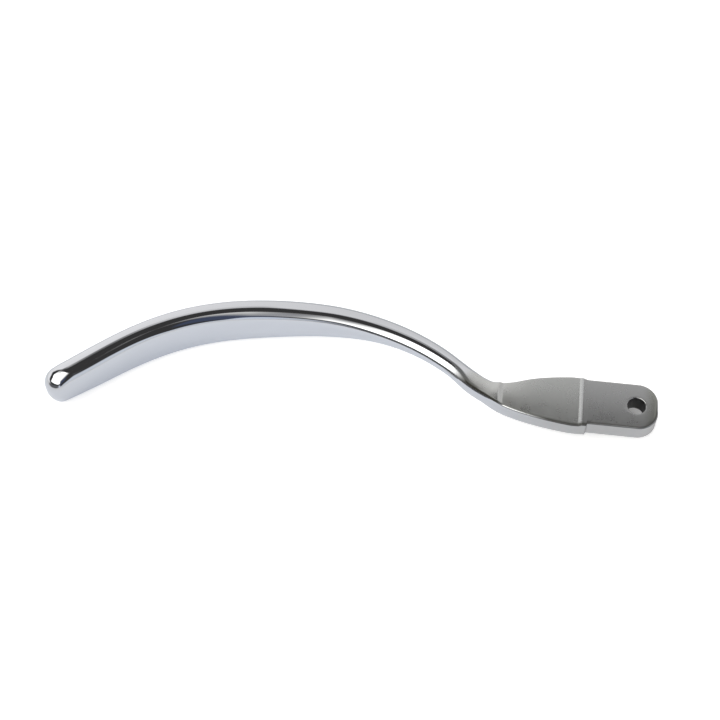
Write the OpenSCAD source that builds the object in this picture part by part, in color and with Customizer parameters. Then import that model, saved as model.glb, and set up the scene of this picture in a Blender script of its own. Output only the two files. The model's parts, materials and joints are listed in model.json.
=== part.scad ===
// Convertible top lever: a curved tapered grip on a slim neck, with a flared tang and a drilled paddle.
// It is one forged piece, polished and chrome plated.
// X runs along the tang, from the grip (negative) to the end of the paddle (positive).
// Z is the axis of the pivot hole, and the grip arches towards +Y.
// The origin is on the axis of the pivot hole, half way through the paddle.
// Places along the lever are measured on its centre line, from the pivot hole to the tip.

/* [Pivot hole] */
// Diameter of the pivot hole
hole_d = 5.5; // [4:0.1:7]
// Chamfer at both rims of the pivot hole
hole_chamfer = 0.3; // [0.1:0.05:0.6]

/* [Paddle] */
// Thickness of the paddle and the flare
tang_t = 5.9; // [5:0.1:8]
// Width of the paddle
paddle_w = 15.5; // [13:0.1:16.5]
// Pivot hole to the end of the paddle
paddle_end = 6.4; // [5.5:0.1:9]
// Radius of the paddle's corners in plan
paddle_corner_r = 6; // [4:0.1:6.4]
// Pivot hole to the side shoulders of the paddle
paddle_l = 14.6; // [12:0.1:18]
// Radius of the long edges of the tang
tang_edge_r = 0.8; // [0.4:0.05:1.4]

/* [Flare] */
// Width of the flare at its widest
flare_w = 17; // [16.6:0.1:19]
// How much less the flare stands out at its back shoulder than at its front one
flare_back_trim = 0.7; // [0:0.05:0.7]
// Length of the widest stretch, behind the shoulders
flare_crest_l = 5.4; // [4:0.1:8]
// Length over which the flare narrows to its root
flare_taper_l = 20; // [16:0.5:26]
// Width of the flare half way along its taper
flare_mid_w = 13.9; // [12:0.1:15]
// Width of the root, where the flare meets the neck
root_w = 8.3; // [7:0.1:10]

/* [Relief] */
// Depth of the relief in the top face of the flare
relief_depth = 0.6; // [0.2:0.05:1]
// Length of the full-height shelf between the shoulders and the relief
relief_shelf_l = 1.3; // [0.8:0.1:2.5]
// Length of the slope at the start of the relief
relief_slope_l = 1.3; // [0.6:0.1:2]
// How far the relief runs past the root of the flare
relief_overrun = 1.8; // [0:0.1:3]
// Length of the slope at the end of the relief
relief_end_l = 2; // [1:0.1:3]
// Angle that the end of the relief is turned from square across the neck
relief_end_turn = 12; // [0:1:20]

/* [Neck] */
// Root of the flare to the thinnest place of the neck
neck_l = 6; // [4:0.5:10]
// Width of the neck
neck_w = 6; // [4.5:0.1:7]
// Height of the neck
neck_h = 5.1; // [4.2:0.1:6.5]
// Neck to the waist, where the bar is round
waist_l = 20; // [16:0.5:26]
// Width of the waist
waist_w = 6.5; // [5.5:0.1:7.5]
// Height of the waist
waist_h = 4.9; // [4.2:0.1:6]

/* [Grip] */
// Waist to the rise, where the bar starts to grow
rise_l = 16; // [12:0.5:20]
// Width of the rise
rise_w = 7.1; // [6:0.1:8.5]
// Height of the rise
rise_h = 6.3; // [5.5:0.1:8]
// Rise to the crown of the arch
arch_l = 18; // [14:0.5:22]
// Width at the crown of the arch
arch_w = 7.7; // [6.5:0.1:9]
// Height at the crown of the arch
arch_h = 10.2; // [9:0.1:12.5]
// Crown of the arch to the swell of the grip
swell_l = 25; // [20:0.5:30]
// Width of the swell
swell_w = 8.2; // [7:0.1:9.5]
// Height of the swell
swell_h = 13.8; // [12:0.1:16]
// Swell to the palm, the deepest place of the grip
palm_l = 30; // [24:0.5:36]
// Width of the palm
palm_w = 8.2; // [7:0.1:9.5]
// Height of the palm
palm_h = 14.7; // [12:0.1:17]
// Palm to the end of the taper behind the tip
fore_l = 29; // [22:0.5:36]
// Width behind the tip
tip_w = 8.6; // [7:0.1:9.5]
// Height behind the tip
tip_h = 12.9; // [10:0.1:15]
// Length of the rounded tip
tip_l = 8.3; // [6:0.1:12]
// Length over which the top falls away at the tip
tip_dome_l = 8; // [6:0.5:14]
// How far the top falls at the very end of the tip
tip_dome_fall = 1.9; // [0:0.1:2.5]
// How square the crown of the section is, 2 being round
crown_power = 2.6; // [2.2:0.1:3.2]
// How flat the side walls of the grip are, 2 being round
wall_power = 4; // [2.5:0.1:5]

/* [Bends] */
// Angle that the neck turns away from the tang
neck_bend = 56; // [45:0.5:62]
// Root of the flare to the middle of the neck's bend
neck_bend_at = 3.5; // [1:0.1:6]
// Length of the neck's bend
neck_bend_l = 24.8; // [18:0.1:30]
// Angle that the shoulder turns back
shoulder_bend = 63.4; // [56:0.1:70]
// Waist to the middle of the shoulder's bend
shoulder_bend_at = 5.4; // [2:0.1:10]
// Length of the shoulder's bend
shoulder_bend_l = 103.3; // [90:0.1:112]
// Angle that the grip turns on towards the tip
grip_bend = 33.3; // [25:0.1:42]
// Middle of the grip's bend to the palm
grip_bend_at = 9.3; // [4:0.1:16]
// Length of the grip's bend
grip_bend_l = 63.4; // [50:0.1:80]

/* [Hidden] */

// Places of the sections along the centre line
crest_u = paddle_l + flare_crest_l;
root_u = crest_u + flare_taper_l;
flare_mid_u = (crest_u + root_u) / 2;
neck_u = root_u + neck_l;
waist_u = neck_u + waist_l;
rise_u = waist_u + rise_l;
arch_u = rise_u + arch_l;
swell_u = arch_u + swell_l;
palm_u = swell_u + palm_l;
fore_u = palm_u + fore_l;
length = fore_u + tip_l;
relief_start = paddle_l + relief_shelf_l;
relief_end = root_u + relief_overrun;
// How far the turned end of the relief reaches along the lever at either side
relief_reach = root_w / 2 * tan(relief_end_turn);

// Width and height of the section at those places
WIDTHS = [
    [paddle_l, flare_w],
    [crest_u, flare_w],
    [flare_mid_u, flare_mid_w],
    [root_u, root_w],
    [neck_u, neck_w],
    [waist_u, waist_w],
    [rise_u, rise_w],
    [arch_u, arch_w],
    [swell_u, swell_w],
    [palm_u, palm_w],
    [fore_u, tip_w],
];
HEIGHTS = [
    [crest_u, tang_t],
    [root_u, tang_t],
    [neck_u, neck_h],
    [waist_u, waist_h],
    [rise_u, rise_h],
    [arch_u, arch_h],
    [swell_u, swell_h],
    [palm_u, palm_h],
    [fore_u, tip_h],
];

// Turns of the centre line: angle, middle and length of each
TURNS = [
    [neck_bend, root_u + neck_bend_at, neck_bend_l],
    [-shoulder_bend, waist_u + shoulder_bend_at, shoulder_bend_l],
    [-grip_bend, palm_u - grip_bend_at, grip_bend_l],
];

// Run of the small slope at the paddle's side shoulders
shoulder_run = 0.2;
// Stretch past the neck over which the section changes from flat topped to round
round_start = 4;
round_end = 13;
// Stretch over which the flat walls fade into the rounded tip
tip_fade_l = 20;
// Narrow flat left along the middle of the crown, and the smallest radius at the pole of the tip
land = 0.3;
pole_r = 0.1;
// Step of the centre line's points
path_step = 0.25;
// Steps round each end, and points on each quarter of the section
end_steps = 7;
quarter_points = 7;
bore_facets = 64;
// Overlap of the cutters past the faces
cut = 1;

// Soft step from 0 to 1
function ease(t) =
    let (c = min(max(t, 0), 1))
    c * c * (3 - 2 * c);

// Slope of a smooth curve at one of its points, level at both ends
function slope(points, i) =
    (i == 0 || i == len(points) - 1) ? 0
    : (points[i + 1][1] - points[i - 1][1]) / (points[i + 1][0] - points[i - 1][0]);

// Piece of a smooth curve between two of its points
function cubic(a, b, slope_a, slope_b, u) =
    let (span = b[0] - a[0], t = min(max((u - a[0]) / span, 0), 1))
    (1 + 2 * t) * (1 - t) * (1 - t) * a[1] + t * (1 - t) * (1 - t) * span * slope_a
    + t * t * (3 - 2 * t) * b[1] + t * t * (t - 1) * span * slope_b;

// Smooth curve through points given as place and value, constant past its ends
function through(points, u, i = 0) =
    (i < len(points) - 2 && u > points[i + 1][0]) ? through(points, u, i + 1)
    : cubic(points[i], points[i + 1], slope(points, i), slope(points, i + 1), u);

// Heading of the centre line, as an angle from -X towards +Y
function heading(u, i = 0) =
    i == len(TURNS) ? 0
    : TURNS[i][0] * ease((u - TURNS[i][1]) / TURNS[i][2] + 0.5) + heading(u, i + 1);

function along(a) = [-cos(a), sin(a)];
function across(a) = [sin(a), cos(a)];

// Centre line from the hole to past the tip, summed up in short steps
CENTRES = [
    for (i = 0, p = [0, 0]; i <= (length + 1) / path_step;
         p = p + path_step * along(heading((i + 0.5) * path_step)), i = i + 1)
        p
];

// Point of the centre line, straight on behind the hole
function centre(u) =
    u <= 0 ? [-u, 0]
    : let (i = floor(u / path_step), t = u / path_step - i)
      CENTRES[i] * (1 - t) + CENTRES[i + 1] * t;

function width(u) = u < paddle_l ? paddle_w : through(WIDTHS, u);

// How far the section has changed from the tang's sharp edges to the bar's round crown
function rounded(u) = ease((u - neck_u - round_start) / (round_end - round_start));

// How flat the walls are: none on the neck, full on the grip, fading at the tip
function fullness(u) =
    ease((u - neck_u) / (swell_u - neck_u)) * (1 - ease((u - length + tip_fade_l) / tip_fade_l));

// Depth of the relief in the top face, at a place along the lever and out to its back
function relief(u, out) =
    relief_depth * ease((u - relief_start) / relief_slope_l)
    * (1 - ease((u - relief_end - out * tan(relief_end_turn)) / relief_end_l + 1));

// Share of the upper half's height that is left where the top falls away at the tip
function tip_left(u, half_h) =
    let (t = max((u - length) / tip_dome_l + 1, 0))
    1 - tip_dome_fall * t * t / half_h;

// Half width of one side: the back of the flare is trimmed from its shoulder to the foot of the relief
function half_width(s, side) =
    (side < 0 || s[0] < paddle_l) ? s[1]
    : s[1] - flare_back_trim * (1 - ease((s[0] - paddle_l) / (relief_shelf_l + relief_slope_l)));

// Stations: place, half width, and the turn of the edge's inward direction
tip_r = (tip_w - land) / 2;
PADDLE_END = [
    for (i = [0:end_steps])
        let (a = 90 - 90 * i / end_steps)
        [paddle_corner_r * (1 - sin(a)) - paddle_end, paddle_w / 2 - paddle_corner_r * (1 - cos(a)), -a]
];
TIP = [
    for (i = [0:end_steps])
        let (a = 90 * i / end_steps)
        [length - tip_r * (1 - sin(a)), tip_w / 2 - tip_r * (1 - cos(a)), a]
];

function spread(a, b, n) = [for (i = [1:n]) a + (b - a) * i / n];

BODY = [
    for (u = concat(
        [paddle_l - shoulder_run / 2, paddle_l + shoulder_run / 2, relief_start],
        spread(relief_start, relief_start + relief_slope_l, 4),
        spread(relief_start + relief_slope_l, relief_end - relief_end_l - relief_reach, 9),
        spread(relief_end - relief_end_l - relief_reach, relief_end + relief_reach, 8),
        spread(relief_end + relief_reach, waist_u, 14),
        spread(waist_u, length - tip_r, 42)))
        [u, width(u) / 2, 0]
];
// The last ring of the body is the first of the tip
STATIONS = concat(PADDLE_END, [for (i = [0:len(BODY) - 2]) BODY[i]], TIP);

// Quarter of the section: inset from the side and height, from the wall to the top
function quarter(u) =
    let (
        h = through(HEIGHTS, u),
        half_w = (u > fore_u ? tip_w : width(u)) / 2,
        round_x = tang_edge_r + rounded(u) * (half_w - land / 2 - pole_r - tang_edge_r),
        round_z = tang_edge_r + rounded(u) * ((h - land) / 2 - tang_edge_r),
        power_x = 2 / (2 + (crown_power - 2) * fullness(u)),
        power_z = 2 / (2 + (wall_power - 2) * fullness(u)))
    [
        for (i = [0:quarter_points - 1])
            let (a = 90 * i / (quarter_points - 1))
            [round_x * (1 - pow(cos(a), power_x)), h / 2 - round_z * (1 - pow(sin(a), power_z))]
    ];

// One side of a ring, from the bottom to the top; side is -1 for the front and 1 for the back
function ring_side(s, side) =
    let (
        q = quarter(max(s[0], 0)),
        a = heading(s[0]),
        half_h = q[len(q) - 1][1],
        profile = concat([for (p = reversed(q)) [p[0], -p[1]]], q))
    [
        for (p = profile)
            let (
                back = p[0] * sin(s[2]),
                out = side * (half_width(s, side) - p[0] * cos(s[2])),
                xy = centre(s[0]) - back * along(a) + out * across(a),
                z = p[1] < 0 ? p[1] : p[1] * tip_left(s[0] - back, half_h) - relief(s[0], out))
            [xy[0], xy[1], z]
    ];

function reversed(list) = [for (i = [len(list) - 1:-1:0]) list[i]];

// Forged body: rings of points carried along the centre line, closed by a strip at each end
module forging() {
    ring = 4 * quarter_points;
    last = (len(STATIONS) - 1) * ring;
    points = [for (s = STATIONS) each concat(ring_side(s, -1), reversed(ring_side(s, 1)))];
    skin = [
        for (i = [0:len(STATIONS) - 2], k = [0:ring - 1])
            let (a = i * ring + k, b = i * ring + (k + 1) % ring)
            each [[a, b + ring, b], [a, a + ring, b + ring]]
    ];
    ends = [
        for (k = [0:ring / 2 - 2])
            let (m = ring - 1 - k)
            each [
                [k, k + 1, m],
                [m, k + 1, m - 1],
                [last + k, last + m, last + k + 1],
                [last + m, last + m - 1, last + k + 1],
            ]
    ];
    polyhedron(points = points, faces = concat(skin, ends), convexity = 6);
}

// Pivot hole with a chamfer at each rim
module pivot_hole() {
    r = hole_d / 2;
    cylinder(h = tang_t + 2 * cut, r = r, center = true, $fn = bore_facets);
    for (side = [0, 1])
        mirror([0, 0, side])
            translate([0, 0, tang_t / 2 - hole_chamfer])
                cylinder(h = hole_chamfer + cut, r1 = r, r2 = r + hole_chamfer + cut, $fn = bore_facets);
}

module lever() {
    color("silver")
        difference() {
            forging();
            pivot_hole();
        }
}

lever();
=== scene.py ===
"""Convertible top lever: the chrome-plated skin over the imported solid, a white studio and the camera."""
import json

import bpy
import numpy as np
from mathutils import Matrix, Vector


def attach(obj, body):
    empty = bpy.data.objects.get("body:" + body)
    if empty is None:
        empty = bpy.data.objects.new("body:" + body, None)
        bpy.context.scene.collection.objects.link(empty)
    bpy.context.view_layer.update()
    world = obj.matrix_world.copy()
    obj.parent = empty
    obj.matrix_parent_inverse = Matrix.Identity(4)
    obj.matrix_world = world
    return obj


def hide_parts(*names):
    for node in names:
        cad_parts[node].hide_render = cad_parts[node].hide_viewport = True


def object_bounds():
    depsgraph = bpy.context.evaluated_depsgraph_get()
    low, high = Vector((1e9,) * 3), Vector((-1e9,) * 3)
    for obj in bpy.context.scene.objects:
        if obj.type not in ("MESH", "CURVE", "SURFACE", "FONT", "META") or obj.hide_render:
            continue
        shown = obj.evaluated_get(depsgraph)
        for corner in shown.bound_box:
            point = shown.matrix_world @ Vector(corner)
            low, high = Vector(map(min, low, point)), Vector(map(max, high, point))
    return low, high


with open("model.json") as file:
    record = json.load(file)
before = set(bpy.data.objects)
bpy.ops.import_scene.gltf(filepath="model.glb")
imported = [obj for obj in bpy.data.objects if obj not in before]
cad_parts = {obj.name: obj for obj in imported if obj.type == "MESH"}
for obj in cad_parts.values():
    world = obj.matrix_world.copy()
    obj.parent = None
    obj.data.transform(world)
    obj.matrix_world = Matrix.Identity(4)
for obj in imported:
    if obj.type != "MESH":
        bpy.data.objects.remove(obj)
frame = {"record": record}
CAD_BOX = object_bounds()
MM = 0.001
X_AXIS, Y_AXIS, Z_AXIS = (1, 0, 0), (0, 1, 0), (0, 0, 1)
WHITE = (1, 1, 1, 1)

# Sizes of the lever in millimetres, as its source has them; a place is a distance from the hole
# along the centre line

HOLE_R = frame["record"]["mounts"][0]["dims"]["r_mm"]
TANG_T = 5.9
PADDLE_W = 15.5
PADDLE_END = 6.4
PADDLE_CORNER_R = 6.0
PADDLE_L = 14.6
TANG_EDGE_R = 0.8
FLARE_W = 17.0
FLARE_MID_W = 13.9
FLARE_BACK_TRIM = 0.7
CREST_U = PADDLE_L + 5.4
ROOT_U = CREST_U + 20.0
NECK_U = ROOT_U + 6.0
WAIST_U = NECK_U + 20.0
RISE_U = WAIST_U + 16.0
ARCH_U = RISE_U + 18.0
SWELL_U = ARCH_U + 25.0
PALM_U = SWELL_U + 30.0
FORE_U = PALM_U + 29.0
LENGTH = FORE_U + 8.3
TIP_W = 8.6
TIP_DOME_L = 8.0
TIP_DOME_FALL = 1.9
TIP_FADE_L = 20.0
CROWN_POWER = 2.6
WALL_POWER = 4.0
LAND = 0.3
POLE_R = 0.1
ROUND_FROM_U = NECK_U + 4.0
ROUND_FULL_U = NECK_U + 13.0
RELIEF_DEPTH = 0.6
RELIEF_SLOPE_L = 1.3
RELIEF_START_U = PADDLE_L + 1.3
RELIEF_END_U = ROOT_U + 1.8
RELIEF_END_L = 2.0
RELIEF_END_TURN = float(np.tan(np.radians(12)))

# Place along the centre line and size of the section there
WIDTHS = np.array([
    (PADDLE_L, FLARE_W),
    (CREST_U, FLARE_W),
    ((CREST_U + ROOT_U) / 2, FLARE_MID_W),
    (ROOT_U, 8.3),
    (NECK_U, 6.0),
    (WAIST_U, 6.5),
    (RISE_U, 7.1),
    (ARCH_U, 7.7),
    (SWELL_U, 8.2),
    (PALM_U, 8.2),
    (FORE_U, TIP_W),
])
HEIGHTS = np.array([
    (CREST_U, TANG_T),
    (ROOT_U, TANG_T),
    (NECK_U, 5.1),
    (WAIST_U, 4.9),
    (RISE_U, 6.3),
    (ARCH_U, 10.2),
    (SWELL_U, 13.8),
    (PALM_U, 14.7),
    (FORE_U, 12.9),
])
# Turns of the centre line: angle in degrees, middle and length
TURNS = (
    (56.0, ROOT_U + 3.5, 24.8),
    (-63.4, WAIST_U + 5.4, 103.3),
    (-33.3, PALM_U - 9.3, 63.4),
)

# Finish that the skin has of its own, in millimetres

HOLE_RIM_R = 0.3
SHOULDER_RUN = 0.3
FLARE_EDGE_R = 0.5
TANG_CROWN = 0.2
NECK_ROLL = 0.12
# Length over which the roll and the bevels of the neck come in
NECK_EASE_L = 4.0
# How much the section's powers are lowered to bevel the neck's long edges
NECK_BEVEL = 0.8
# Share of the flat walls that fades on the upper half of the tip; on the lower half all of it does
TIP_FADE = 0.3

# Fineness of the skin: points of a section, rings round each end, rows of the patch at the hole

QUARTER_POINTS = 28
ACROSS_POINTS = 16
PADDLE_RINGS = 30
TIP_RINGS = 40
HOLE_FACE_ROWS = 9
HOLE_RIM_ROWS = 8
PATH_STEP = 0.1
# Reach of the fine rings past either end of the turned slope, and the patch's distance from the shoulders
RELIEF_END_SPREAD = 1.0
PATCH_MARGIN = 0.5
# Points of a ring, which goes up the front, over the top, down the back and across underneath
SIDE_POINTS = 2 * QUARTER_POINTS
BOTTOM_FRONT, TOP_FRONT = 0, SIDE_POINTS - 1
TOP_BACK = SIDE_POINTS + ACROSS_POINTS
BOTTOM_BACK = TOP_BACK + SIDE_POINTS - 1
RING_POINTS = BOTTOM_BACK + 1 + ACROSS_POINTS

# Where the plating is satin, and where it is dull and painted dark as painted shade and painted dark
# reflections; reaches are in points of a ring

SATIN_EDGE = 7
SATIN_FULL_U = NECK_U + 4.0
SATIN_END_U = NECK_U + 9.0
# The relief's slopes, known by the rise over a short step, are polished a little
SLOPE_STEP, SLOPE_RISE = 0.02, 0.004
SLOPE_POLISH = 0.1
# Dull plating with painted shade in the bore
BORE_DULL_SHADE = 0.9
# Painted shade in the step at the paddle's shoulders: share and reach along the centre line
SHOULDER_SHADE, SHOULDER_SHADE_L = 0.6, 0.18
# How much the front edge is dull and painted dark, a painted dark reflection: place along the centre line and
# share
EDGE_DARK_REFLECTION = np.array([
    (-PADDLE_END, 0.6),
    (PADDLE_L - 1, 0.8),
    (PADDLE_L, 0.9),
    (CREST_U + 6, 0.9),
    (CREST_U + 14, 0.4),
    (RELIEF_END_U - 3, 0.2),
    (RELIEF_END_U - 1, 1.0),
    (NECK_U + 5, 1.0),
    (NECK_U + 14, 0.0),
])
# How far down the front edge the painted dark reflection reaches: place and points
EDGE_FULL_REACH = 22
EDGE_REACH = np.array([
    (RELIEF_END_U - 1, EDGE_FULL_REACH),
    (RELIEF_END_U + 2, 13),
    (NECK_U + 5, 13),
    (NECK_U + 8, EDGE_FULL_REACH),
])
# Painted dark reflection, a dull wedge on the neck's top face: share, softness in points, start and end along
# the centre line
WEDGE_DARK_REFLECTION, WEDGE_SOFT = 0.75, 3
WEDGE_START_U, WEDGE_START_L = NECK_U - 1.0, 3.0
WEDGE_END_U, WEDGE_END_L = NECK_U + 12.0, 5.0
# How far the wedge reaches over the face: place and points
WEDGE_REACH = np.array([
    (NECK_U + 1, 1.0),
    (NECK_U + 4, 2.0),
    (NECK_U + 7, 4.5),
    (NECK_U + 9, 7.0),
    (NECK_U + 11, 9.0),
    (NECK_U + 15, 14.0),
])


def ease(t):
    """Soft step: 3 t squared minus 2 t cubed, held at 0 and 1 outside the step."""
    t = np.clip(t, 0, 1)
    return t * t * (3 - 2 * t)


def through(points, u):
    """Cubic curve through (place, value) points: each slope is that of the chord between the two
    neighbours, level at both ends, and the value is held past them."""
    at, value = points[:, 0], points[:, 1]
    slope = np.zeros(len(at))
    slope[1:-1] = (value[2:] - value[:-2]) / (at[2:] - at[:-2])
    i = np.clip(np.searchsorted(at, u) - 1, 0, len(at) - 2)
    span = at[i + 1] - at[i]
    t = np.clip((u - at[i]) / span, 0, 1)
    return (
        (1 + 2 * t) * (1 - t) ** 2 * value[i]
        + t * (1 - t) ** 2 * span * slope[i]
        + t * t * (3 - 2 * t) * value[i + 1]
        + t * t * (t - 1) * span * slope[i + 1]
    )


def heading(u):
    """Angle of the centre line from -X towards +Y: the sum of the eased turns."""
    return sum(np.radians(angle) * ease((u - middle) / run + 0.5) for angle, middle, run in TURNS)


def centre_line(u):
    """Plan point at a distance from the hole: the sum of short steps along the heading; the line is
    straight on the paddle's side of the hole."""
    s = np.arange(0, LENGTH + 2 * PATH_STEP, PATH_STEP)
    a = heading(s[:-1] + PATH_STEP / 2)
    x = np.concatenate([[0], np.cumsum(-np.cos(a))]) * PATH_STEP
    y = np.concatenate([[0], np.cumsum(np.sin(a))]) * PATH_STEP
    return np.stack([np.interp(u, s, x) - np.minimum(u, 0), np.interp(u, s, y)], -1)


def past_shoulder(u):
    """0 on the paddle, 1 on the flare: an eased step over the run of the shoulders."""
    return ease((u - PADDLE_L) / SHOULDER_RUN + 0.5)


def width(u):
    """Width in plan: the paddle's own width, a step at its shoulders, then the curve through WIDTHS."""
    return PADDLE_W + past_shoulder(u) * (through(WIDTHS, u) - PADDLE_W)


def back_trim(u):
    """How much less the back of the flare stands out, from its shoulder to the foot of the relief's slope."""
    run = RELIEF_START_U + RELIEF_SLOPE_L - PADDLE_L
    return FLARE_BACK_TRIM * past_shoulder(u) * (1 - ease((u - PADDLE_L) / run))


def relief(u, out):
    """Depth of the relief in the flare's top face: an eased slope at each end, the one on the neck
    turned a little."""
    start = ease((u - RELIEF_START_U) / RELIEF_SLOPE_L)
    end = ease((u - RELIEF_END_U - RELIEF_END_TURN * out) / RELIEF_END_L + 1)
    return RELIEF_DEPTH * start * (1 - end)


def rounded(u):
    """0 on the tang, with its small edge radius, to 1 on the bar, whose crown takes the whole section."""
    return ease((u - ROUND_FROM_U) / (ROUND_FULL_U - ROUND_FROM_U))


def on_neck(u):
    """1 on the neck, eased in behind the flare and out where the section turns round."""
    return ease((u - ROOT_U) / NECK_EASE_L) * (1 - rounded(u))


def fullness(u, fade):
    """0 where the bar is round, 1 on the grip with its flat walls, fading again by a share over the tip."""
    grip = ease((u - NECK_U) / (SWELL_U - NECK_U))
    return grip * (1 - fade * ease((u - LENGTH + TIP_FADE_L) / TIP_FADE_L))


def stations():
    """Rings from the end of the paddle to the tip: place, half width and turn of the edge's inward
    direction. The ends follow a quarter circle in plan on each side."""
    a = np.linspace(0, np.pi / 2, PADDLE_RINGS)[::-1]
    paddle = np.stack([
        PADDLE_CORNER_R * (1 - np.sin(a)) - PADDLE_END,
        PADDLE_W / 2 - PADDLE_CORNER_R * (1 - np.cos(a)),
        -a,
    ], -1)
    a = np.linspace(0, np.pi / 2, TIP_RINGS)
    tip_r = (TIP_W - LAND) / 2
    tip = np.stack([
        LENGTH - tip_r * (1 - np.sin(a)),
        TIP_W / 2 - tip_r * (1 - np.cos(a)),
        a,
    ], -1)
    slope_foot = RELIEF_START_U + RELIEF_SLOPE_L
    end_from = RELIEF_END_U - RELIEF_END_L - RELIEF_END_SPREAD
    end_to = RELIEF_END_U + RELIEF_END_SPREAD
    # Stretches of the body: from, to and number of rings
    stretches = (
        (PADDLE_CORNER_R - PADDLE_END, PADDLE_L - SHOULDER_RUN, 36),
        (PADDLE_L - SHOULDER_RUN, PADDLE_L + SHOULDER_RUN, 10),
        (PADDLE_L + SHOULDER_RUN, RELIEF_START_U, 4),
        (RELIEF_START_U, slope_foot, 12),
        (slope_foot, end_from, 44),
        (end_from, end_to, 24),
        (end_to, WAIST_U, 56),
        (WAIST_U, LENGTH - tip_r, 190),
    )
    u = np.concatenate([np.linspace(a, b, n + 1)[1:] for a, b, n in stretches])[:-1]
    body = np.stack([u, width(u) / 2, np.zeros_like(u)], -1)
    return np.concatenate([paddle, body, tip])


def quarter(u, fade):
    """Inset from the side and height of one quarter of the section, from the side to the top, for each
    place. It is a superellipse: inset = rx (1 - cos a ^ (2/p)), height = h/2 - rz (1 - sin a ^ (2/q))."""
    h = through(HEIGHTS, u)
    half_w = np.where(u > FORE_U, TIP_W, width(u)) / 2
    edge_r = FLARE_EDGE_R + (TANG_EDGE_R - FLARE_EDGE_R) * ease((u - ROOT_U) / (NECK_U - ROOT_U))
    rx = edge_r + rounded(u) * (half_w - LAND / 2 - POLE_R - edge_r)
    rz = edge_r + rounded(u) * ((h - LAND) / 2 - edge_r)
    p = 2 + (CROWN_POWER - 2) * fullness(u, fade) - NECK_BEVEL * on_neck(u)
    q = 2 + (WALL_POWER - 2) * fullness(u, fade) - NECK_BEVEL * on_neck(u)
    a = np.linspace(0, np.pi / 2, QUARTER_POINTS)[None]
    cosine, sine = np.clip(np.cos(a), 0, 1), np.sin(a)
    return rx * (1 - cosine ** (2 / p)), h / 2 - rz * (1 - sine ** (2 / q))


def profile(u):
    """Inset and height of one side of the section, from the bottom to the top; the tip is fuller on top."""
    u = np.maximum(u, 0)[:, None]
    low_inset, low_height = quarter(u, 1)
    top_inset, top_height = quarter(u, TIP_FADE)
    return (
        np.concatenate([low_inset[:, ::-1], top_inset], 1),
        np.concatenate([-low_height[:, ::-1], top_height], 1),
    )


def settle(z, u, out, half_w, h):
    """Height of a point after the relief, the tip's fall, the tang's slight crown and the neck's slight roll.
    They take the upper half only: z times (1 - fall t squared / half height), less the relief, and less by
    the crown v squared and the roll v, v being the place across the section from -1 to 1."""
    t = np.clip((u - LENGTH + TIP_DOME_L) / TIP_DOME_L, 0, 1)
    v = out / half_w
    crown = TANG_CROWN * (1 - rounded(u)) * v * v
    bulge = (crown + NECK_ROLL * on_neck(u) * v) * z / (h / 2)
    return np.where(z > 0, z * (1 - TIP_DOME_FALL * t * t / (h / 2)) - relief(u, out) - bulge, z)


def across(a, b, n):
    """Points between two rows of points, both ends left out."""
    t = np.linspace(0, 1, n + 2)[1:-1][None, :, None]
    return a[:, None] * (1 - t) + b[:, None] * t


def rings(places):
    """Grid of points: one closed ring for each station, up the front, over the top, down the back and
    across underneath."""
    u, half_w, turn = places.T
    inset, z = profile(u)
    a = heading(u)
    along = np.stack([-np.cos(a), np.sin(a)], -1)[:, None]
    outward = np.stack([np.sin(a), np.cos(a)], -1)[:, None]
    back = inset * np.sin(turn)[:, None]
    front_out = inset * np.cos(turn)[:, None] - half_w[:, None]
    back_out = -front_out - back_trim(u)[:, None]
    top = across(np.stack([front_out[:, -1], z[:, -1], back[:, -1]], -1),
                 np.stack([back_out[:, -1], z[:, -1], back[:, -1]], -1), ACROSS_POINTS)
    out = np.concatenate([front_out, top[..., 0], back_out[:, ::-1], top[:, ::-1, 0]], 1)
    z = np.concatenate([z, top[..., 1], z[:, ::-1], np.repeat(z[:, :1], ACROSS_POINTS, 1)], 1)
    back = np.concatenate([back, top[..., 2], back[:, ::-1], top[..., 2]], 1)
    plan = centre_line(u)[:, None] - back[..., None] * along + out[..., None] * outward
    h = through(HEIGHTS, np.maximum(u, 0))[:, None]
    z = settle(z, u[:, None] - back, out, half_w[:, None], h)
    return np.concatenate([plan, z[..., None]], -1)


def hole_patch(outline):
    """Rows of points from each point of the paddle's outline to the pivot hole at the same angle: in even
    steps over the top face, round the rim by a quarter circle, then the same way back underneath, with the
    bore between the two. The top face has the tang's crown."""
    angle = np.arctan2(outline[:, 1], outline[:, 0])
    spoke = np.stack([np.cos(angle), np.sin(angle)], -1)
    rim = HOLE_R + HOLE_RIM_R
    reach = np.linspace(0, 1, HOLE_FACE_ROWS + 1)[1:]
    bend = np.linspace(0, np.pi / 2, HOLE_RIM_ROWS + 1)[1:]
    radius = rim - HOLE_RIM_R * np.sin(bend)
    drop = TANG_T / 2 - HOLE_RIM_R * (1 - np.cos(bend))
    flat = outline[:, None] * (1 - reach)[None, :, None] + spoke[:, None] * (rim * reach)[None, :, None]
    flat = np.concatenate([flat, np.full(flat.shape[:2] + (1,), TANG_T / 2)], -1)
    curl = np.concatenate([
        spoke[:, None] * radius[None, :, None],
        np.broadcast_to(drop[None, :, None], (len(spoke), len(drop), 1)),
    ], -1)
    upper = np.concatenate([flat, curl], 1)
    lower = upper[:, ::-1] * np.array([1, 1, -1])
    upper[..., 2] = settle(upper[..., 2], 0, upper[..., 1], PADDLE_W / 2, TANG_T)
    return np.concatenate([upper, lower], 1)


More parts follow.
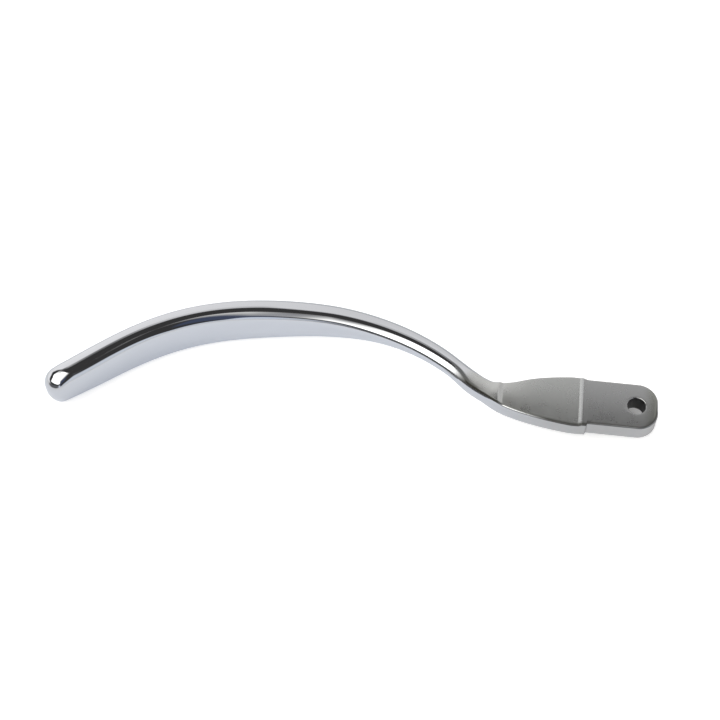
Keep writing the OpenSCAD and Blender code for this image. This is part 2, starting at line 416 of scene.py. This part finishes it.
def ring_masks(u):
    """Satin shares, and shares of dull finish painted dark for shade and dark reflections, of every point of
    the rings, from a column of their places.
    """
    k = np.arange(RING_POINTS)
    over = (k >= TOP_FRONT - SATIN_EDGE) & (k <= TOP_BACK + SATIN_EDGE)
    sloped = np.abs(relief(u + SLOPE_STEP, 0) - relief(u - SLOPE_STEP, 0)) > SLOPE_RISE
    before_bar = 1 - ease((u - SATIN_FULL_U) / (SATIN_END_U - SATIN_FULL_U))
    satin = over * (1 - SLOPE_POLISH * sloped) * before_bar

    # Painted dark reflection along the front edge
    front_edge = (k >= TOP_FRONT - np.interp(u, *EDGE_REACH.T)) & (k <= TOP_FRONT)
    # Painted dark reflection on the neck's top face, round the end of the highlight
    face = (k > TOP_FRONT) & (k <= TOP_BACK + 1)
    wedge = face * (1 - ease((k - TOP_FRONT - np.interp(u, *WEDGE_REACH.T)) / WEDGE_SOFT))
    past_neck = ease((u - WEDGE_START_U) / WEDGE_START_L) * (1 - ease((u - WEDGE_END_U) / WEDGE_END_L))
    # Painted shade in the shoulders' step, on the front wall below the edge
    at_shoulder = (k < TOP_FRONT - EDGE_FULL_REACH) * np.exp(-((u - PADDLE_L) / SHOULDER_SHADE_L) ** 2)
    dull = (
        front_edge * np.interp(u, *EDGE_DARK_REFLECTION.T)
        + WEDGE_DARK_REFLECTION * wedge * past_neck
        + SHOULDER_SHADE * at_shoulder
    )
    return satin, dull


def lever_mesh():
    """Skin of the lever: the rings joined by quads, a strip of quads across the paddle's end, a grid of them
    across the tip's, and the patch that joins the paddle's top face to its underside through the pivot hole.
    Returns the points, the quads and the masks."""
    places = stations()
    grid = rings(places)
    n = len(places)
    cut = int(np.searchsorted(places[:, 0], PADDLE_L - SHOULDER_RUN - PATCH_MARGIN))
    index = np.arange(n * RING_POINTS).reshape(n, RING_POINTS)
    first, last = index[0], index[-1]

    # Rings, with the paddle's two flat faces left open
    a, b = index[:-1], index[1:]
    quads = np.stack([a, b, np.roll(b, -1, 1), np.roll(a, -1, 1)], -1)
    keep = np.ones((n - 1, RING_POINTS), bool)
    keep[:cut, TOP_FRONT:TOP_BACK] = False
    keep[:cut, BOTTOM_BACK:] = False
    faces = [quads[keep]]

    # Paddle's end: front and back of the first ring are joined straight across
    front = np.arange(SIDE_POINTS - 1)
    back = BOTTOM_BACK - front
    faces.append(np.stack([first[front], first[front + 1], first[back - 1], first[back]], -1))

    # Tip's end: rows of points across, between the front and the back of the last ring
    points = grid.reshape(-1, 3)
    tip_front, tip_back = last[:SIDE_POINTS], last[BOTTOM_BACK - np.arange(SIDE_POINTS)]
    tip_rows = across(points[tip_front], points[tip_back], ACROSS_POINTS)[1:-1]
    tip_count = tip_rows.shape[0] * tip_rows.shape[1]
    tip_inner = np.concatenate([
        last[None, :BOTTOM_BACK:-1],
        len(points) + np.arange(tip_count).reshape(tip_rows.shape[:2]),
        last[None, TOP_FRONT + 1:TOP_BACK],
    ])
    tip_index = np.concatenate([tip_front[:, None], tip_inner, tip_back[:, None]], 1)
    a, b = tip_index[:-1], tip_index[1:]
    faces.append(np.stack([a[:, 1:], b[:, 1:], b[:, :-1], a[:, :-1]], -1))
    points = np.concatenate([points, tip_rows.reshape(-1, 3)])

    # Patch, between the outlines of the paddle's two faces
    rows = np.arange(cut + 1)
    line = np.arange(1, ACROSS_POINTS + 1)
    loop_top = np.concatenate([
        index[rows[::-1], TOP_FRONT], index[rows, TOP_BACK], index[cut, TOP_BACK - line]])
    loop_bottom = np.concatenate([
        index[rows[::-1], BOTTOM_FRONT], index[rows, BOTTOM_BACK], index[cut, BOTTOM_BACK + line]])
    patch = hole_patch(points[loop_top, :2])
    patch_index = len(points) + np.arange(patch.shape[0] * patch.shape[1]).reshape(patch.shape[:2])
    patch_index = np.concatenate([loop_top[:, None], patch_index, loop_bottom[:, None]], 1)
    a, b = patch_index, np.roll(patch_index, -1, 0)
    faces.append(np.stack([a[:, :-1], a[:, 1:], b[:, 1:], b[:, :-1]], -1))
    points = np.concatenate([points, patch.reshape(-1, 3)])

    # Masks: the tip's end is bright, and the patch changes from satin to dull with painted shade half way
    # round the rim
    satin, dull = ring_masks(places[:, :1])
    bright = np.zeros(tip_count)
    row = np.arange(patch.shape[1])
    half_rim = HOLE_FACE_ROWS + HOLE_RIM_ROWS // 2
    bore = (row >= half_rim) & (row < len(row) - half_rim)
    patch_satin = np.broadcast_to(row < half_rim, patch.shape[:2])
    patch_dull = np.broadcast_to(BORE_DULL_SHADE * bore, patch.shape[:2])
    satin = np.concatenate([satin.ravel(), bright, patch_satin.ravel()])
    dull = np.concatenate([dull.ravel(), bright, patch_dull.ravel()])

    # Points that no quad uses are left out, and the quads are turned to face outwards
    used, faces = np.unique(np.concatenate([f.reshape(-1, 4) for f in faces]), return_inverse=True)
    return points[used], faces.reshape(-1, 4)[:, ::-1], {"satin": satin[used], "dull": dull[used]}


def new_mesh_object(name, points, faces, attributes):
    """Mesh object at the origin with smooth faces, from points in millimetres, quads and values for each
    point."""
    mesh = bpy.data.meshes.new(name)
    mesh.vertices.add(len(points))
    mesh.vertices.foreach_set("co", (points * MM).astype(np.float32).ravel())
    mesh.loops.add(faces.size)
    mesh.loops.foreach_set("vertex_index", faces.astype(np.int32).ravel())
    mesh.polygons.add(len(faces))
    mesh.polygons.foreach_set("loop_start", np.arange(0, faces.size, 4, dtype=np.int32))
    mesh.update(calc_edges=True)
    mesh.validate()
    mesh.shade_smooth()
    for key, values in attributes.items():
        mesh.attributes.new(key, "FLOAT", "POINT").data.foreach_set("value", values.astype(np.float32))
    piece = bpy.data.objects.new(name, mesh)
    bpy.context.scene.collection.objects.link(piece)
    return piece


class Nodes:
    """Short calls for a node tree: each returns the output socket of a new node."""

    def __init__(self, tree):
        self.tree = tree

    def feed(self, socket, value):
        """Link a socket to an output, or set its value."""
        if isinstance(value, bpy.types.NodeSocket):
            self.tree.links.new(value, socket)
        else:
            socket.default_value = value

    def math(self, operation, *values):
        node = self.tree.nodes.new("ShaderNodeMath")
        node.operation = operation
        for socket, value in zip(node.inputs, values):
            self.feed(socket, value)
        return node.outputs[0]

    def product(self, first, *others):
        for value in others:
            first = self.math("MULTIPLY", first, value)
        return first

    def vector(self, operation, *values, out="Vector"):
        node = self.tree.nodes.new("ShaderNodeVectorMath")
        node.operation = operation
        for socket, value in zip(node.inputs, values):
            self.feed(socket, value)
        return node.outputs[out]

    def dot(self, vector, axis):
        return self.vector("DOT_PRODUCT", vector, tuple(axis), out="Value")

    def distance(self, place, centre, shape):
        """Distance from a centre, with each axis stretched by a factor."""
        moved = self.vector("SUBTRACT", place, centre)
        return self.vector("LENGTH", self.vector("MULTIPLY", moved, shape), out="Value")

    def scale(self, color, factor):
        node = self.tree.nodes.new("ShaderNodeVectorMath")
        node.operation = "SCALE"
        self.feed(node.inputs[0], color)
        self.feed(node.inputs["Scale"], factor)
        return node.outputs["Vector"]

    def step(self, value, low, high, start=0.0, end=1.0):
        """Soft step from start at low to end at high."""
        node = self.tree.nodes.new("ShaderNodeMapRange")
        node.interpolation_type = "SMOOTHSTEP"
        for name, v in (
                ("Value", value), ("From Min", low), ("From Max", high), ("To Min", start), ("To Max", end)):
            self.feed(node.inputs[name], v)
        return node.outputs["Result"]

    def past(self, value, edge, soft):
        """Soft step from 0 to 1 over an edge."""
        return self.step(value, edge - soft, edge + soft)

    def before(self, value, edge, soft):
        """Soft step from 1 to 0 over an edge."""
        return self.step(value, edge - soft, edge + soft, 1.0, 0.0)

    def slanted(self, x, y, slope):
        """Distance of x from a slanting line: x - slope y."""
        return self.math("MULTIPLY_ADD", y, -slope, x)

    def noise(self, place, scale, detail):
        node = self.tree.nodes.new("ShaderNodeTexNoise")
        self.feed(node.inputs["Vector"], place)
        node.inputs["Scale"].default_value = scale
        node.inputs["Detail"].default_value = detail
        return node.outputs["Fac"]

    def mix(self, factor, a, b):
        """Colour from a to b."""
        node = self.tree.nodes.new("ShaderNodeMix")
        node.data_type = "RGBA"
        for i, value in ((0, factor), (6, a), (7, b)):
            self.feed(node.inputs[i], value)
        return node.outputs[2]

    def blend(self, factor, a, b):
        """Value from a to b."""
        node = self.tree.nodes.new("ShaderNodeMix")
        for i, value in ((0, factor), (2, a), (3, b)):
            self.feed(node.inputs[i], value)
        return node.outputs[0]


# Plating; places are in metres

CHROME_COLOR = (0.60, 0.615, 0.65, 1)
CHROME_ROUGHNESS = 0.045
# Painted shade: the dull parts are painted near black, for shade in the bore and the shoulders' step and for
# dark reflections on the front edge and the neck
PAINTED_SHADE_COLOR = (0.030, 0.030, 0.026, 1)
DULL_ROUGHNESS = 0.5
# Satin: its colour by the neck, on the flare, on the paddle and at the paddle's end, and where they change
SATIN_COLOR = (0.53, 0.54, 0.535, 1)
FLARE_COLOR = (0.44, 0.452, 0.45, 1)
PADDLE_COLOR = (0.36, 0.367, 0.374, 1)
PADDLE_END_COLOR = (0.245, 0.252, 0.235, 1)
FLARE_FADE = (-0.0015, 0.012)
SHELF_SOFT = 0.0003
PADDLE_END_FADE = (0.0015, 0.0058)
SATIN_ROUGHNESS = 0.28
MOTTLE_SCALE, MOTTLE_DETAIL = 330, 3
MOTTLE_SPREAD = 0.10
GRAIN_SCALE, GRAIN_DETAIL = 1500, 2
GRAIN_HEIGHT = 0.000001


def plating_group():
    """Node group: from the satin mask and the dull mask, which also paints shade and dark reflections near
    black, the plating's colour, roughness and bump height.
    """
    group = bpy.data.node_groups.new("plating", "ShaderNodeTree")
    for name in ("Satin", "Dull_Shade"):
        group.interface.new_socket(name, in_out="INPUT", socket_type="NodeSocketFloat")
    for name, kind in (("Color", "Color"), ("Roughness", "Float"), ("Height", "Float")):
        group.interface.new_socket(name, in_out="OUTPUT", socket_type="NodeSocket" + kind)
    kit = Nodes(group)
    source = group.nodes.new("NodeGroupInput").outputs
    sink = group.nodes.new("NodeGroupOutput").inputs
    place = group.nodes.new("ShaderNodeTexCoord").outputs["Object"]
    satin, dull = source["Satin"], source["Dull_Shade"]

    x = kit.dot(place, X_AXIS)
    shelf_x = -MM * (RELIEF_START_U + RELIEF_SLOPE_L / 2)
    root_x = -MM * (RELIEF_END_U - RELIEF_END_L)
    on_paddle = kit.past(x, shelf_x, SHELF_SOFT)
    on_flare = kit.step(x, *(root_x + reach for reach in FLARE_FADE))
    at_end = kit.step(x, *PADDLE_END_FADE)
    flare = kit.mix(on_flare, SATIN_COLOR, FLARE_COLOR)
    paddle = kit.mix(at_end, PADDLE_COLOR, PADDLE_END_COLOR)
    color = kit.mix(satin, CHROME_COLOR, kit.mix(on_paddle, flare, paddle))
    # The dull mask paints shade and dark reflections near black
    kit.feed(sink["Color"], kit.mix(dull, color, PAINTED_SHADE_COLOR))

    mottle = kit.noise(place, MOTTLE_SCALE, MOTTLE_DETAIL)
    satin_rough = kit.math("MULTIPLY_ADD", mottle, MOTTLE_SPREAD, SATIN_ROUGHNESS - MOTTLE_SPREAD / 2)
    rough = kit.blend(satin, CHROME_ROUGHNESS, satin_rough)
    kit.feed(sink["Roughness"], kit.blend(dull, rough, DULL_ROUGHNESS))
    grain = kit.noise(place, GRAIN_SCALE, GRAIN_DETAIL)
    kit.feed(sink["Height"], kit.product(satin, GRAIN_HEIGHT, grain))
    return group


def chrome_material():
    """Bright chrome plate, satin on the flat top faces, dull with painted shade in the bore and dull with a
    painted dark reflection on the front edge.
    """
    material = bpy.data.materials.new("chrome_plate")
    material.use_nodes = True
    kit = Nodes(material.node_tree)
    nodes = material.node_tree.nodes
    shader = nodes["Principled BSDF"]
    shader.inputs["Metallic"].default_value = 1
    plating = nodes.new("ShaderNodeGroup")
    plating.node_tree = plating_group()
    for name, key in (("Satin", "satin"), ("Dull_Shade", "dull")):
        layer = nodes.new("ShaderNodeAttribute")
        layer.attribute_name = key
        kit.feed(plating.inputs[name], layer.outputs["Fac"])
    bump = nodes.new("ShaderNodeBump")
    bump.inputs["Distance"].default_value = 1
    kit.feed(bump.inputs["Height"], plating.outputs["Height"])
    kit.feed(shader.inputs["Base Color"], plating.outputs["Color"])
    kit.feed(shader.inputs["Roughness"], plating.outputs["Roughness"])
    kit.feed(shader.inputs["Normal"], bump.outputs["Normal"])
    return material


lever = new_mesh_object("lever_skin", *lever_mesh())
lever.data.materials.append(chrome_material())
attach(lever, "root")
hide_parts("lever")

# Camera: the photograph's viewing angle, with the pivot hole at its place in the frame

IMAGE_SIDE = 720
HOLE_PIXEL = (635.3, 410.9)
PIXEL_MM = 0.30
FOCAL_PIXELS = 1500
SENSOR_MM = 36
CAMERA_AZIMUTH = 6.8
CAMERA_ELEVATION = 57.0


def make_camera():
    """Camera whose picture has the hole at HOLE_PIXEL and PIXEL_MM millimetres a pixel there. Returns the
    direction to its right."""
    yaw, pitch = np.radians((CAMERA_AZIMUTH, CAMERA_ELEVATION))
    right = Vector((np.cos(yaw), np.sin(yaw), 0))
    back = Vector((np.sin(yaw) * np.cos(pitch), -np.cos(yaw) * np.cos(pitch), np.sin(pitch)))
    up = back.cross(right)
    data = bpy.data.cameras.new("camera")
    data.sensor_width = SENSOR_MM
    data.lens = SENSOR_MM * FOCAL_PIXELS / IMAGE_SIDE
    camera = bpy.data.objects.new("camera", data)
    bpy.context.scene.collection.objects.link(camera)
    right_mm = (HOLE_PIXEL[0] - IMAGE_SIDE / 2) * PIXEL_MM
    down_mm = (HOLE_PIXEL[1] - IMAGE_SIDE / 2) * PIXEL_MM
    place = (back * (FOCAL_PIXELS * PIXEL_MM) - right * right_mm + up * down_mm) * MM
    turn = Matrix((right, up, back)).transposed().to_4x4()
    camera.matrix_world = Matrix.Translation(place) @ turn
    bpy.context.scene.camera = camera
    return right


# Floor, in metres on the lever's axes; a pair is where a soft step starts and ends

FLOOR_SIDE = 8.0
FLOOR_ROUGHNESS = 0.9
FLOOR_COLOR = (0.7, 0.7, 0.7, 1)
FLOOR_GLOW = 0.62
# Behind the lever it is darker, a painted shadow that the chrome reflects, and glows more
FLOOR_SHADOW_COLOR = (0.44, 0.45, 0.45, 1)
FLOOR_BACK_GLOW = 0.78
FLOOR_BACK, FLOOR_BACK_LEFT = (0.014, 0.026), (-0.14, -0.11)
# In a spot under the pivot hole it doesn't glow: a painted shadow under the paddle
FLOOR_SHADOW_SPOT = (0.0021, 0.003)
FLOOR_SHADOW_SPOT_PLACE = (0.001, 0.0046, 0)
FLOOR_SHADOW_SPOT_SHAPE = (1, 1.5, 0)
# The chrome reflects it as a pool of light below the grip, which ends on the right
FLOOR_POOL_COLOR = (0.88, 1.0, 1.22, 1)
FLOOR_POOL_PLACE = (-0.12, 0.005, 0)
FLOOR_POOL_SHAPE = (0.6, 1, 0)
FLOOR_POOL_RADIUS = 0.14
FLOOR_POOL_NEAR, FLOOR_POOL_FAR = 0.27, 0.07
FLOOR_POOL_RIGHT = (-0.062, -0.012)


def make_floor():
    """White floor under the lever: it glows to the camera, more behind the lever and not in the spot under
    the hole, a painted shadow; behind the lever its colour is darker, a painted shadow for reflections; it
    glows to reflections as the pool says, and keeps the shadow."""
    z = CAD_BOX[0].z
    h = FLOOR_SIDE / 2
    mesh = bpy.data.meshes.new("floor")
    mesh.from_pydata([(-h, -h, z), (h, -h, z), (h, h, z), (-h, h, z)], [], [(0, 1, 2, 3)])
    floor = bpy.data.objects.new("floor", mesh)
    bpy.context.scene.collection.objects.link(floor)
    material = bpy.data.materials.new("floor_white")
    material.use_nodes = True
    kit = Nodes(material.node_tree)
    nodes = material.node_tree.nodes
    shader = nodes["Principled BSDF"]
    shader.inputs["Roughness"].default_value = FLOOR_ROUGHNESS
    shader.inputs["Specular IOR Level"].default_value = 0
    path = nodes.new("ShaderNodeLightPath").outputs
    place = nodes.new("ShaderNodeTexCoord").outputs["Object"]
    x, y = kit.dot(place, X_AXIS), kit.dot(place, Y_AXIS)

    behind = kit.product(kit.step(y, *FLOOR_BACK), kit.step(x, *FLOOR_BACK_LEFT))
    # Painted shadow: the floor is darker behind the lever
    kit.feed(shader.inputs["Base Color"], kit.mix(behind, FLOOR_COLOR, FLOOR_SHADOW_COLOR))
    # Painted shadow: no glow in the spot under the pivot hole
    from_shadow_spot = kit.distance(place, FLOOR_SHADOW_SPOT_PLACE, FLOOR_SHADOW_SPOT_SHAPE)
    glow = kit.step(from_shadow_spot, *FLOOR_SHADOW_SPOT, 0.0, kit.blend(behind, FLOOR_GLOW, FLOOR_BACK_GLOW))
    from_pool = kit.distance(place, FLOOR_POOL_PLACE, FLOOR_POOL_SHAPE)
    pool = kit.step(from_pool, 0.0, FLOOR_POOL_RADIUS, FLOOR_POOL_NEAR, FLOOR_POOL_FAR)
    left = kit.step(x, *FLOOR_POOL_RIGHT, 1.0, 0.0)
    seen = kit.product(path["Is Camera Ray"], glow)
    reflected = kit.product(path["Is Glossy Ray"], pool, left)
    tint = kit.mix(path["Is Camera Ray"], FLOOR_POOL_COLOR, WHITE)
    kit.feed(shader.inputs["Emission Color"], tint)
    kit.feed(shader.inputs["Emission Strength"], kit.math("MAXIMUM", seen, reflected))
    mesh.materials.append(material)


# World: a direction's x is to the picture's right, its y away from the camera and its z up; a pair is where
# a soft step starts and ends

SWEEP_COLOR = (0.975, 0.96, 0.945, 1)
SWEEP_FRONT_COLOR = (0.80, 0.84, 0.90, 1)
SWEEP_BEHIND = (-0.6, -0.2)
# Height of its top edge: behind, with the left and the right of it, and in front, with a dip
SWEEP_BACK_TOP, SWEEP_BACK_RIGHT_TOP = np.sin(np.radians((55.5, 58.5))).tolist()
SWEEP_BACK_RIGHT = (0.02, 0.12)
SWEEP_LEFT_TOP, SWEEP_BACK_LEFT_TOP = 0.28, 0.52
SWEEP_BACK_LEFT = (0.0, 0.35)
SWEEP_LEFT = (-0.75, -0.3)
SWEEP_FRONT_TOP, SWEEP_DIP_TOP = 0.40, 0.16
SWEEP_DIP_LEFT, SWEEP_DIP_RIGHT = (0.05, 0.16), (0.42, 0.6)
SWEEP_TOP_BEHIND = (-0.9, -0.3)
# How soft the top edge is
SWEEP_FRONT_SOFT, SWEEP_BACK_SOFT = 0.08, 0.018
SWEEP_SOFT_BEHIND = (-0.9, -0.2)
# How much it gains to the left, up to a limit
SWEEP_LEFT_GAIN, SWEEP_LEFT_LIMIT = 0.42, -0.4
# Gap in it at the front left: middle and half width in degrees
GAP_AZIMUTH, GAP_HALF = 45.0, 40.0
GAP_SOFT = 0.12
GAP_DARK = 0.88
# How dark its foot is behind, on the left and on the right
FOOT = (0.02, 0.2)
FOOT_LEFT_DARK, FOOT_RIGHT_DARK = 0.06, 0.42
FOOT_ACROSS = (-0.3, 0.25)

# Soft light: its edges on a ceiling one unit up, across the picture and away from the camera; an edge with
# a slope slants by it
LIGHT_COLOR = (3.2, 3.14, 2.98)
LIGHT_BACK, LIGHT_BACK_SOFT = 0.43, 0.12
LIGHT_FRONT, LIGHT_FRONT_SOFT = -1.33, 0.12
LIGHT_RIGHT, LIGHT_RIGHT_SOFT = 0.06, 0.08
LIGHT_LEFT, LIGHT_LEFT_SOFT, LIGHT_LEFT_SLOPE = -1.61, 0.06, 2.17
LIGHT_FAR, LIGHT_FAR_SOFT, LIGHT_FAR_SLOPE = -2.6, 0.2, -1.56
LIGHT_CORNER, LIGHT_CORNER_SOFT, LIGHT_CORNER_SLOPE = 0.095, 0.03, -1.0
LIGHT_DIM_RIGHT, LIGHT_DIM = (-0.3, 0.1), 0.31
LIGHT_LOW = (0.1, 0.2)

# Dark room, with a bluer part on the same ceiling, right of the light
ROOM_COLOR = (0.055, 0.053, 0.052, 1)
ROOM_BLUE_COLOR = (0.078, 0.094, 0.148, 1)
BLUE_LEFT, BLUE_RIGHT, BLUE_BACK = (0.04, 0.12), (0.4, 0.7), (-0.1, 0.05)
BLUE_CORNER, BLUE_CORNER_SOFT, BLUE_CORNER_SLOPE = 0.0, 0.04, -0.5

# Least divisors, for directions that are upright or level
LEAST_LEVEL, LEAST_UP = 0.001, 0.05


def make_world(right):
    """White sweep, high behind the lever and low in front, with a gap at the front left; a soft light
    overhead; a dark room over both; and white to the camera."""
    world = bpy.data.worlds.new("studio")
    bpy.context.scene.world = world
    world.use_nodes = True
    kit = Nodes(world.node_tree)
    nodes = world.node_tree.nodes
    direction = nodes.new("ShaderNodeTexCoord").outputs["Generated"]
    away = Vector((-right.y, right.x, 0))
    x, y, z = (kit.dot(direction, axis) for axis in (right, away, Z_AXIS))

    # Sweep: below its top edge, less the gap, with a fall from left to right and a darker foot
    right_top = kit.step(x, *SWEEP_BACK_RIGHT, SWEEP_BACK_TOP, SWEEP_BACK_RIGHT_TOP)
    left_top = kit.step(y, *SWEEP_BACK_LEFT, SWEEP_LEFT_TOP, SWEEP_BACK_LEFT_TOP)
    back_top = kit.step(x, *SWEEP_LEFT, left_top, right_top)
    dip = kit.product(kit.step(x, *SWEEP_DIP_LEFT), kit.step(x, *SWEEP_DIP_RIGHT, 1.0, 0.0))
    front_top = kit.blend(dip, SWEEP_FRONT_TOP, SWEEP_DIP_TOP)
    top = kit.blend(kit.step(y, *SWEEP_TOP_BEHIND), front_top, back_top)
    soft = kit.step(y, *SWEEP_SOFT_BEHIND, SWEEP_FRONT_SOFT, SWEEP_BACK_SOFT)
    below = kit.step(kit.math("DIVIDE", kit.math("SUBTRACT", top, z), soft), -1.0, 1.0)
    gap_at, gap_edge = np.radians(GAP_AZIMUTH), float(np.cos(np.radians(GAP_HALF)))
    towards_gap = kit.dot(direction, -right * np.sin(gap_at) - away * np.cos(gap_at))
    level = kit.math("SQRT", kit.math("MULTIPLY_ADD", x, x, kit.math("MULTIPLY", y, y)))
    facing = kit.math("DIVIDE", towards_gap, kit.math("MAXIMUM", level, LEAST_LEVEL))
    gap = kit.step(facing, gap_edge - GAP_SOFT, gap_edge + GAP_SOFT, 1.0, 1.0 - GAP_DARK)
    behind = kit.step(y, *SWEEP_BEHIND)
    to_right = kit.product(kit.math("MAXIMUM", x, SWEEP_LEFT_LIMIT), behind)
    fall = kit.math("MULTIPLY_ADD", to_right, -SWEEP_LEFT_GAIN, 1.0)
    foot_dark = kit.step(x, *FOOT_ACROSS, FOOT_LEFT_DARK, FOOT_RIGHT_DARK)
    foot = kit.product(behind, foot_dark, kit.step(z, *FOOT, 1.0, 0.0))
    sweep = kit.product(below, gap, fall, kit.math("SUBTRACT", 1.0, foot))
    sweep_color = kit.mix(behind, SWEEP_FRONT_COLOR, SWEEP_COLOR)

    # Soft light: the product of its edges on the ceiling, dimmer on the right and none near the horizon
    up = kit.math("MAXIMUM", z, LEAST_UP)
    across, deep = kit.math("DIVIDE", x, up), kit.math("DIVIDE", y, up)
    light = kit.product(
        kit.before(deep, LIGHT_BACK, LIGHT_BACK_SOFT),
        kit.past(deep, LIGHT_FRONT, LIGHT_FRONT_SOFT),
        kit.before(across, LIGHT_RIGHT, LIGHT_RIGHT_SOFT),
        kit.before(kit.slanted(across, deep, LIGHT_CORNER_SLOPE), LIGHT_CORNER, LIGHT_CORNER_SOFT),
        kit.past(kit.slanted(across, deep, LIGHT_LEFT_SLOPE), LIGHT_LEFT, LIGHT_LEFT_SOFT),
        kit.past(kit.slanted(across, deep, LIGHT_FAR_SLOPE), LIGHT_FAR, LIGHT_FAR_SOFT),
        kit.step(across, *LIGHT_DIM_RIGHT, 1.0, LIGHT_DIM),
        kit.step(z, *LIGHT_LOW),
    )

    # Room, then all three together
    blue = kit.product(
        kit.step(across, *BLUE_LEFT),
        kit.step(across, *BLUE_RIGHT, 1.0, 0.0),
        kit.step(deep, *BLUE_BACK, 1.0, 0.0),
        kit.before(kit.slanted(across, deep, BLUE_CORNER_SLOPE), BLUE_CORNER, BLUE_CORNER_SOFT),
    )
    room = kit.mix(blue, ROOM_COLOR, ROOM_BLUE_COLOR)
    color = kit.vector("ADD", kit.scale(LIGHT_COLOR, light), room)
    color = kit.vector("ADD", kit.scale(sweep_color, sweep), color)
    seen = nodes.new("ShaderNodeLightPath").outputs["Is Camera Ray"]
    kit.feed(nodes["Background"].inputs["Color"], kit.mix(seen, color, WHITE))


right = make_camera()
make_floor()
make_world(right)

bpy.context.scene.view_settings.view_transform = "Standard"
